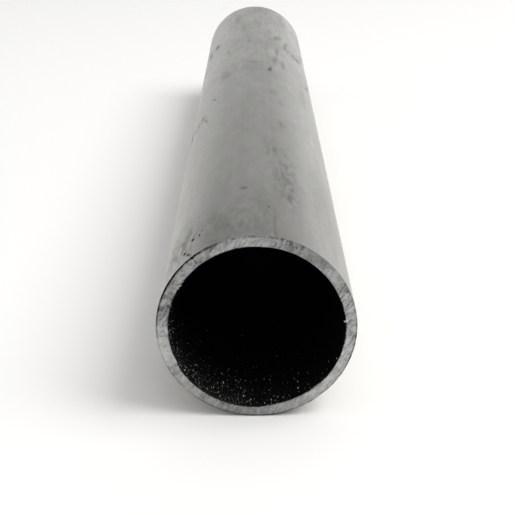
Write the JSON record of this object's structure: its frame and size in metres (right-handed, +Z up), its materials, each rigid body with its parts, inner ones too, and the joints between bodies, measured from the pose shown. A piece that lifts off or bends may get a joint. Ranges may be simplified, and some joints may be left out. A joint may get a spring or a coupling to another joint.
{
  "type": "railing tube",
  "caption": "Short straight length of round thin-walled steel railing tube with a plain through bore and square sawn ends.",
  "frame": {"origin": "on the surface that the tube lies on, straight under the middle of its length", "axes": "+Y along the tube from its front end to its back end, +Z up, +X to the right as seen from the front end"},
  "size_m": [0.0424, 0.29, 0.0424],
  "materials": {
    "mild_steel": "bare mild steel as it left the tube mill: dull matte grey with faint lengthwise streaks, bright saw-cut ends and a dark scaled bore"
  },
  "bodies": {
    "root": {"railing_tube": "mild_steel"}
  },
  "joints": []
}
